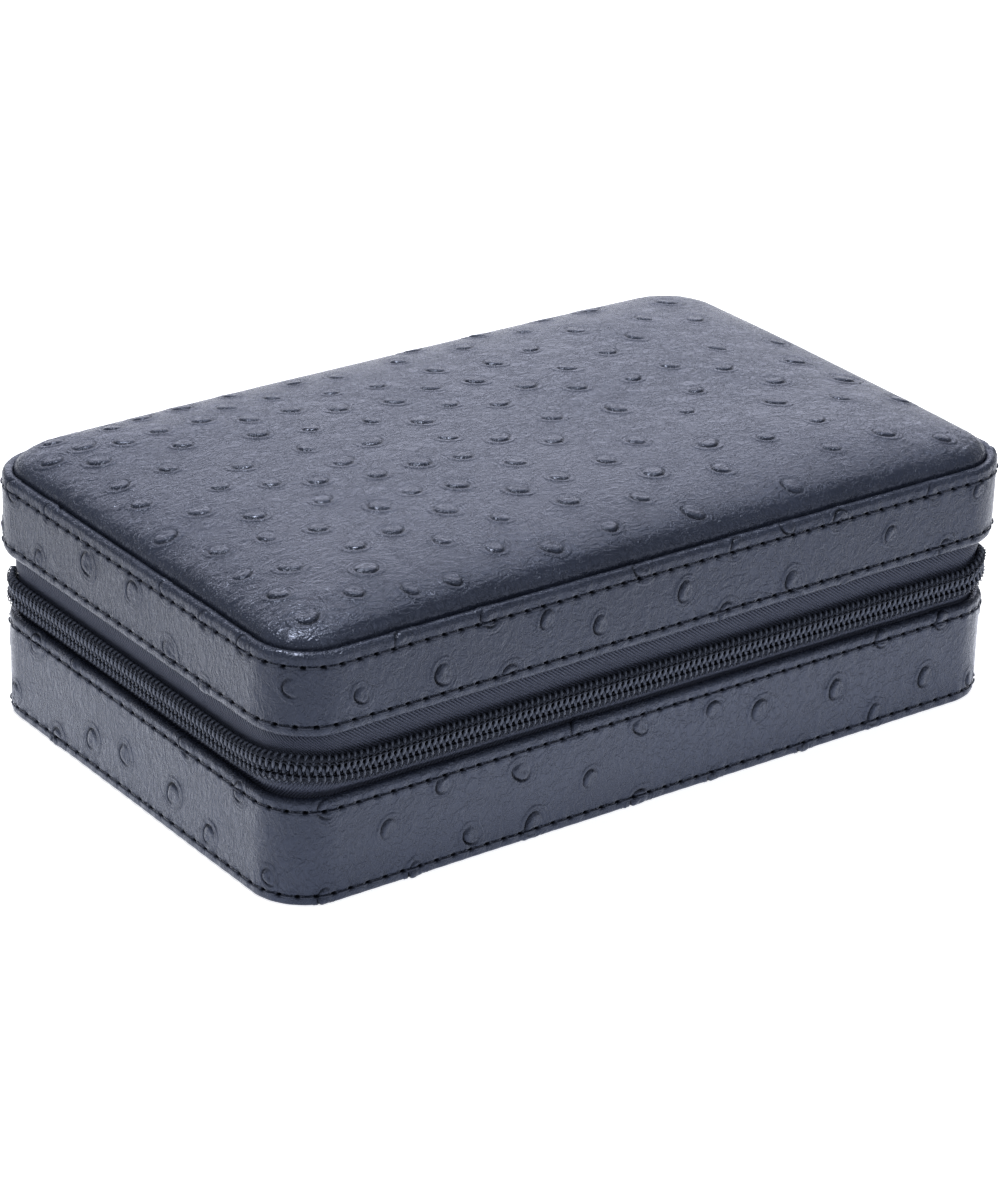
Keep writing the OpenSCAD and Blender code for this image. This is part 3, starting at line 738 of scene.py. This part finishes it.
def corner_rise(s):
    """How far the pulled chain rides up as it rounds the front corners."""
    left = np.clip(np.abs(s - (S_FRONT - QUARTER / 2)) / 17, 0, 1)
    right = np.clip(np.abs(s - (S_RIGHT - QUARTER / 2)) / 10, 0, 1)
    return 1.3 * (np.cos(left * math.pi / 2) ** 2 + np.cos(right * math.pi / 2) ** 2)


def chain_run():
    """Arc lengths along the chain, and the length at the coil's own radius."""
    fine = np.linspace(S_CHAIN, S_CHAIN_END, 8001)
    flat = on_case(fine, np.full(fine.shape, CHAIN_IN + COIL_T / 2), np.zeros(fine.shape))
    length = np.concatenate([[0], np.cumsum(np.linalg.norm(np.diff(flat, axis=0), axis=1))])
    return fine, length


def long_tube(name, path, radius, sides, slot, body):
    """One tube along a path."""
    verts, faces = tube_strings(path[None], radius, sides)
    return add_mesh(name, verts, faces, slot, body)


def zip_half(upper, body):
    side = 1 if upper else -1
    tag = "upper" if upper else "lower"
    fine, length = chain_run()
    wire = 0.31
    steps = 26
    turns = int(length[-1] / COIL_PITCH)
    phase = np.arange(turns * steps) / steps * math.tau
    run = phase / math.tau * COIL_PITCH + (0.5 * COIL_PITCH if upper else 0)
    s = np.interp(run, length, fine)
    across = np.cos(phase)
    # the head is wider than the root, and bulges past the middle
    z = 1.13 - 1.40 * across
    depth = CHAIN_IN + COIL_T / 2 - (COIL_T / 2 - wire) * np.sin(phase) * (1 - 0.25 * np.clip(-across, 0, 1))
    head = np.clip(across, 0, 1) ** 3
    path = on_case(s, depth, np.zeros(s.shape))
    path[:, 2] = PARTING + corner_rise(s) + side * (z + parted(path))
    coil = long_tube(f"zip_teeth_{tag}", path, wire + 0.07 * head, 8, "zip_coil", body)
    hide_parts(f"zip_coil_{tag}")
    # sewing thread in two rows over the turns
    for row, at in (("a", 1.25), ("b", 1.95)):
        st = np.arange(0, length[-1] - 0.5, 0.12)
        s = np.interp(st, length, fine)
        over = np.cos(st / COIL_PITCH * math.tau - (math.pi if upper else 0) + (0.9 if row == "a" else -0.5))
        path = on_case(s, CHAIN_IN - 0.04 - 0.14 * over + 0.12, np.zeros(s.shape))
        path[:, 2] = PARTING + corner_rise(s) + side * (at + 0.22 * np.sin(st / COIL_PITCH * math.tau) + parted(path))
        long_tube(f"zip_sewing_{tag}_{row}", path, 0.10, 5, "zip_cord", body)
    # cord under the turns, at their root
    st = np.arange(0, length[-1], 0.4)
    s = np.interp(st, length, fine)
    path = on_case(s, np.full(s.shape, CHAIN_IN + COIL_T / 2), np.zeros(s.shape))
    path[:, 2] = PARTING + corner_rise(s) + side * (1.75 + parted(path))
    long_tube(f"zip_core_{tag}", path, 0.52, 8, "zip_cord", body)


zip_half(False, "base")
zip_half(True, "lid")


def zip_tape(upper, body):
    """The woven tape, from under the band to beside the chain's middle."""
    side = 1 if upper else -1
    tag = "upper" if upper else "lower"
    edge = LID_EDGE if upper else BASE_TOP
    under, front = BAND_T + TAPE_T / 2, TAPE_FACE + TAPE_T / 2
    open_z = np.linspace(edge - side * 0.3, PARTING + side * 2.8, 9)
    swell = 0.55 * np.sin(np.linspace(0, math.pi, 9)) ** 0.8
    bulge = np.stack([np.linspace(under, front, 9) - swell, open_z], -1)
    centre_line = np.concatenate([[[under, edge + side * 9.0]], bulge, [[front, PARTING + side * 0.8]]])
    pts, at = resample(centre_line, 0.4)
    begin = SX - 8.0
    s = np.arange(begin, PERIMETER - begin + 0.4, 0.5)
    grid_s = np.repeat(s[:, None], len(at), 1)
    verts = on_case(grid_s, np.repeat(pts[None, :, 0], len(s), 0), np.repeat(pts[None, :, 1], len(s), 0))
    ripple = 0.05 * np.sin(grid_s / 3.1) * np.sin(at[None, :] / at[-1] * math.pi)
    free = np.clip((at - 9.0) / (at[-1] - 11.0), 0, 1)
    verts[..., 2] += ripple + corner_rise(grid_s) * free[None, :]
    uv = np.stack([grid_s, np.repeat(at[None, :], len(s), 0)], -1).reshape(-1, 2)
    faces = grid_faces(len(s), len(at))
    if upper:
        faces = faces[:, ::-1]
    obj = add_mesh(f"zip_tape_{tag}_woven", verts.reshape(-1, 3), faces, "zip_tape", body, uv=uv)
    thick = obj.modifiers.new("thickness", "SOLIDIFY")
    thick.thickness = TAPE_T * MM
    thick.offset = 0
    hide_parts(f"zip_tape_{tag}")


zip_tape(False, "base")
zip_tape(True, "lid")

# ---- hinge at the back ----


def hinge_piece(name, node, slot, half, low, high, face, thick, bow):
    """A strip across the back between the base and the lid, bowed out by bow along the parting line."""
    zs = np.linspace(low, high, 61)
    xs = np.linspace(-half, half, 301)
    x, z = np.meshgrid(xs, zs, indexing="ij")
    swell = bow * np.exp(-((z - PARTING) / 2.6) ** 2)
    y = face + swell + 0.05 * np.sin(x / 5.3 + z)
    front = np.stack([x, y, z], -1)
    back = np.stack([x, y - thick, z], -1)
    a = front.reshape(-1, 3)
    b = back.reshape(-1, 3)
    n = len(a)
    faces = grid_faces(*x.shape)
    idx = np.arange(n).reshape(x.shape)
    rim = np.concatenate([idx[:-1, 0], idx[-1, :-1], idx[:0:-1, -1], idx[0, :0:-1]])
    nxt = np.roll(rim, -1)
    sides = np.stack([rim, nxt, nxt + n, rim + n], -1)
    obj = add_mesh(name, np.concatenate([a, b]), np.concatenate([faces[:, ::-1], faces + n, sides]), slot, None,
                   dent=np.zeros(2 * n))
    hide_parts(node)
    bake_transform(obj)
    return obj


spine_lo, spine_hi = box_mm("hinge_spine")
strip_lo, strip_hi = box_mm("hinge_lining")
hinge_piece("hinge_spine_leather", "hinge_spine", "spine_leather", spine_hi[0], spine_lo[2] + 1, spine_hi[2] - 1,
            spine_hi[1] - 0.45, 1.0, 0.3)
hinge_piece("hinge_lining_suede", "hinge_lining", "lining", strip_hi[0], strip_lo[2], strip_hi[2],
            strip_hi[1], 0.55, 0.0)

# ---- interior ----


def soft_bar(name, node, body, slot, round_r, along, top_bow):
    """A foam bar or padded wall wrapped in suede, with a rounded top and tucked ends."""
    lo, hi = box_mm(node)
    lo, hi = lo + 0.03, hi - 0.03
    axis = 0 if along == "x" else 1
    other = 1 - axis
    half = (hi[other] - lo[other]) / 2
    mid = (hi[other] + lo[other]) / 2
    r = min(round_r, half)
    prof = np.concatenate([
        [[-half + 0.4, lo[2]], [-half, lo[2] + 0.5]], arc(-half + r, hi[2] - r, r, 180, 90, 12),
        arc(half - r, hi[2] - r, r, 90, 0, 12), [[half, lo[2] + 0.5], [half - 0.4, lo[2]]]])
    prof = resample(prof, 0.6)[0]
    ends = np.array([0, 0.05, 0.2, 0.5, 0.9, 1.4, 2.0])
    shrink = np.sqrt(np.clip(1 - ((1.6 - np.minimum(ends, 1.6)) / 1.6) ** 2, 0, 1)) * 0.22 + 0.78
    shrink[-1] = 1
    run = hi[axis] - lo[axis]
    inner = np.arange(2.6, run - 2.6, 0.7)
    places = np.concatenate([ends, inner, (run - ends)[::-1]])
    scale = np.concatenate([shrink, np.ones(len(inner)), shrink[::-1]])
    n, m = len(places), len(prof)
    verts = np.zeros((n, m, 3))
    u = places / run
    sag = top_bow * (np.sin(np.pi * u) ** 0.5 - 1)
    rise = (prof[:, 1] - lo[2]) / (hi[2] - lo[2])
    wave = 0.06 * np.sin(places[:, None] * 0.5 + prof[None, :, 0] * 0.8 + lo[0] + lo[1])
    verts[..., axis] = lo[axis] + places[:, None]
    verts[..., other] = mid + prof[None, :, 0] * scale[:, None] - np.sign(prof[None, :, 0]) * np.abs(wave) * 0.4
    tall = lo[2] + (prof[None, :, 1] - lo[2]) * (1 - (1 - scale[:, None]) * 0.35)
    verts[..., 2] = tall + (sag[:, None] - np.abs(wave)) * rise[None, :]
    flat = verts.reshape(-1, 3)
    faces = grid_faces(n, m)
    caps = []
    extra = []
    count = n * m
    for row in (0, n - 1):
        ring = np.arange(m) + row * m
        centre = flat[ring].mean(0)
        extra.append(centre)
        nxt = np.roll(ring, -1)
        tri = np.stack([ring, nxt, np.full(m, count), np.full(m, count)], -1)
        caps.append(tri if row else tri[:, [1, 0, 2, 3]])
        count += 1
    bottom = np.stack([np.arange(n - 1) * m + m - 1, (np.arange(n - 1) + 1) * m + m - 1, (np.arange(n - 1) + 1) * m,
                       np.arange(n - 1) * m], -1)
    quads = np.concatenate([faces, bottom])
    obj = mixed_mesh(name, np.concatenate([flat, np.array(extra)]), quads, np.concatenate(caps)[:, :3], slot, body)
    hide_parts(node)
    return obj


def mixed_mesh(name, verts, quads, tris, slot, body):
    """A mesh of quads and triangles with outward normals, riding on a body."""
    mesh = bpy.data.meshes.new(name)
    faces = [tuple(f) for f in quads.tolist()] + [tuple(f) for f in tris.tolist()]
    mesh.from_pydata((np.asarray(verts) * MM).tolist(), [], faces)
    mesh.polygons.foreach_set("use_smooth", np.full(len(faces), True))
    mesh.validate()
    obj = bpy.data.objects.new(name, mesh)
    bpy.context.collection.objects.link(obj)
    obj.data.materials.append(MATERIALS[slot])
    bpy.context.view_layer.objects.active = obj
    obj.select_set(True)
    bpy.ops.object.mode_set(mode="EDIT")
    bpy.ops.mesh.select_all(action="SELECT")
    bpy.ops.mesh.normals_make_consistent(inside=False)
    bpy.ops.object.mode_set(mode="OBJECT")
    obj.select_set(False)
    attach(obj, body)
    return obj


for k in range(1, 6):
    soft_bar(f"ring_roll_{k}_suede", f"ring_roll_{k}", "base", "roll_suede", 8.2, "x", 0.25)
soft_bar("divider_main_suede", "divider_main", "base", "divider_suede", 1.25, "y", 0.15)
soft_bar("divider_cross_suede", "divider_cross", "base", "divider_suede", 1.25, "x", 0.15)
soft_bar("divider_short_suede", "divider_short", "base", "divider_suede", 1.25, "y", 0.15)


def rounded_ring(half_l, half_w, r, n):
    """Points round a rounded rectangle, evenly spaced, with outward normals."""
    sx, sy = half_l - r, half_w - r
    pieces = []
    for cx, cy, a in ((sx, sy, 0), (-sx, sy, 90), (-sx, -sy, 180), (sx, -sy, 270)):
        t = np.radians(np.linspace(a, a + 90, 13))
        pieces.append(np.stack([cx + r * np.cos(t), cy + r * np.sin(t), np.cos(t), np.sin(t)], -1))
    ring = np.concatenate(pieces + [pieces[0][:1]])
    length = np.concatenate([[0], np.cumsum(np.hypot(*np.diff(ring[:, :2], axis=0).T))])
    at = np.linspace(0, length[-1], n, endpoint=False)
    return np.stack([np.interp(at, length, ring[:, i]) for i in range(4)], -1)


def mirror_frame():
    """The padded surround of the mirror: a soft frame with a sewn groove near its outer edge."""
    lo, hi = box_mm("mirror_frame")
    glass_lo, glass_hi = box_mm("mirror_glass")
    out_l, out_w = hi[0] - 0.05, hi[1] - 0.05
    width = out_l - glass_hi[0] + 0.8
    top, back = lo[2] + 0.05, hi[2]
    base_r = 6.0
    t = np.linspace(0, 1, 41)
    depth = back - top
    bulge = np.sin(np.pi * t) ** 0.42
    inset = t * width
    z = back - (depth - 0.9) * bulge - 0.9 * np.sin(np.pi * t) ** 2
    groove = 0.55 * np.exp(-((inset - 1.7) / 0.35) ** 2)
    z = z + groove
    z[-1] = glass_lo[2] - 0.05
    z = np.where(inset > width - 1.2, np.minimum(z, glass_lo[2] - 0.05), z)
    n = 420
    verts = []
    for i, d in enumerate(inset):
        r_in = max(base_r - d, 0.6)
        inner = rounded_ring(out_l - d, out_w - d, r_in, n)
        w = np.full(n, z[i]) + 0.07 * np.sin(np.arange(n) / n * math.tau * 21 + i * 0.2) * bulge[i]
        verts.append(np.stack([inner[:, 0], inner[:, 1], w], -1))
    back_in = rounded_ring(out_l - width + 0.2, out_w - width + 0.2, 2.0, n)
    verts.append(np.stack([back_in[:, 0], back_in[:, 1], np.full(n, back - 0.3)], -1))
    out = rounded_ring(out_l - 0.3, out_w - 0.3, base_r - 0.3, n)
    verts.append(np.stack([out[:, 0], out[:, 1], np.full(n, back - 0.02)], -1))
    verts = np.array(verts)
    rows = len(verts)
    faces = grid_faces(rows, n, wrap_rows=True, wrap_cols=True)
    obj = mixed_mesh("mirror_surround", verts.reshape(-1, 3), faces, np.zeros((0, 3), int), "lining", "lid")
    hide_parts("mirror_frame")


mirror_frame()

# ---- CAD pieces that show as they are ----


def dress(node, slot, bevel=0.0, segments=3):
    """A CAD node with its material, and rounded edges where asked."""
    obj = frame["nodes"][node]
    obj.data.materials.clear()
    obj.data.materials.append(MATERIALS[slot])
    if bevel:
        m = obj.modifiers.new("edges", "BEVEL")
        m.width = bevel * MM
        m.segments = segments
        m.limit_method = "ANGLE"
        m.angle_limit = math.radians(35)
        m.harden_normals = True
    for p in obj.data.polygons:
        p.use_smooth = True
    edge = obj.modifiers.new("smooth", "WEIGHTED_NORMAL")
    edge.keep_sharp = True
    return obj


dress("base_board", "board")
dress("lid_board", "board")
dress("lid_foam", "foam")
dress("base_bottom_panel", "bottom_leather")
dress("base_lining", "lining")
dress("lid_lining", "lining")
dress("mirror_glass", "mirror", 0.3)
dress("zip_stop_lower", "zip_coil", 0.25)
dress("zip_stop_upper", "zip_coil", 0.25)
dress("slider_body", "slider_metal", 0.22)
dress("slider_bail", "slider_metal", 0.25, 4)
dress("pull_tab", "pull_metal", 0.3, 4)

# ---- studio ----


def floor_material():
    """Pale paper, which the camera sees as the photo's white background."""
    t = Tree("paper")
    seen = t.node("LightPath").outputs["Is Camera Ray"]
    spot = t.node("SeparateXYZ", Vector=t.place(scale=(1, 1.35, 1))).outputs
    away = t.math("SQRT", t.math("ADD", t.math("POWER", spot[0], 2.0), t.math("POWER", spot[1], 2.0)))
    # Painted light: rays other than the camera's see the paper glow, strongest round the case and dimmer on the
    # camera's side, a pool of light that lights the case from below.
    near = t.node("MapRange", Value=away, From_Min=0.09, From_Max=0.17, To_Min=1.25, To_Max=0.30).outputs[0]
    aside = t.math("ADD", t.math("MULTIPLY", spot[0], -0.6), t.math("MULTIPLY", spot[1], -0.6))
    dim = t.node("MapRange", Value=aside, From_Min=0.06, From_Max=0.14, To_Min=1.0, To_Max=0.65).outputs[0]
    near = t.math("MULTIPLY", near, dim)
    glow = t.math("ADD", t.math("MULTIPLY", seen, 0.70), t.math("MULTIPLY", t.math("SUBTRACT", 1.0, seen), near))
    fleck = t.noise(t.place(), 900.0, 2.0)
    paper = t.node("BsdfDiffuse", Color=t.mix(fleck, (0.84, 0.84, 0.85), (0.87, 0.87, 0.88)), Roughness=0.6)
    glow = t.node("Emission", Color=t.mix(seen, (0.85, 0.89, 1.0), (1.0, 1.0, 1.0)), Strength=glow)
    return t.finish(t.node("AddShader", i0=paper.outputs[0], i1=glow.outputs[0]).outputs[0])


def plane(name, size, material):
    mesh = bpy.data.meshes.new(name)
    w, h = size[0] / 2, size[1] / 2
    mesh.from_pydata([(-w, -h, 0), (w, -h, 0), (w, h, 0), (-w, h, 0)], [], [(0, 1, 2, 3)])
    obj = bpy.data.objects.new(name, mesh)
    bpy.context.collection.objects.link(obj)
    obj.data.materials.append(material)
    return obj


plane("floor", (6, 6), floor_material())


CASE_MIDDLE = (0, 0, 0.02)


def area_light(name, location, size, power, color=(1, 1, 1)):
    data = bpy.data.lights.new(name, "AREA")
    data.shape = "RECTANGLE"
    data.size, data.size_y = size
    data.energy = power
    data.color = color
    obj = bpy.data.objects.new(name, data)
    obj.location = location
    direction = np.array(CASE_MIDDLE) - np.array(location)
    yaw = math.atan2(-direction[0], direction[1])
    pitch = math.atan2(math.hypot(direction[0], direction[1]), -direction[2])
    obj.rotation_euler = (pitch, 0, yaw)
    obj.visible_camera = False
    bpy.context.collection.objects.link(obj)
    return obj


area_light("backdrop_light", (0.70, 1.15, 0.52), (1.45, 0.7), 7.4, (0.82, 0.84, 1.0))
area_light("over_light", (0.50, 0.36, 1.05), (0.8, 0.8), 4.2, (0.85, 0.88, 1.0))
area_light("left_light", (-1.1, 0.35, 0.6), (0.9, 0.9), 1.5, (0.85, 0.88, 1.0))
area_light("front_light", (0.1, -1.3, 0.8), (1.2, 0.8), 5, (0.92, 0.94, 1.0))
area_light("key_light", (-0.14, 0.14, 1.1), (0.15, 0.15), 11.0)
area_light("corner_light", (-0.85, -0.62, 0.42), (0.16, 0.16), 0.6)


def world():
    w = bpy.data.worlds.new("studio")
    bpy.context.scene.world = w
    w.use_nodes = True
    tree = w.node_tree
    tree.nodes.clear()
    out = tree.nodes.new("ShaderNodeOutputWorld")
    rays = tree.nodes.new("ShaderNodeLightPath")
    soft = tree.nodes.new("ShaderNodeBackground")
    soft.inputs["Color"].default_value = (0.9, 0.93, 1.0, 1)
    soft.inputs["Strength"].default_value = 0.30
    white = tree.nodes.new("ShaderNodeBackground")
    white.inputs["Color"].default_value = (1, 1, 1, 1)
    white.inputs["Strength"].default_value = 1.0
    mix = tree.nodes.new("ShaderNodeMixShader")
    tree.links.new(rays.outputs["Is Camera Ray"], mix.inputs[0])
    tree.links.new(soft.outputs[0], mix.inputs[1])
    tree.links.new(white.outputs[0], mix.inputs[2])
    tree.links.new(mix.outputs[0], out.inputs["Surface"])


world()
bpy.context.scene.view_settings.view_transform = "Standard"
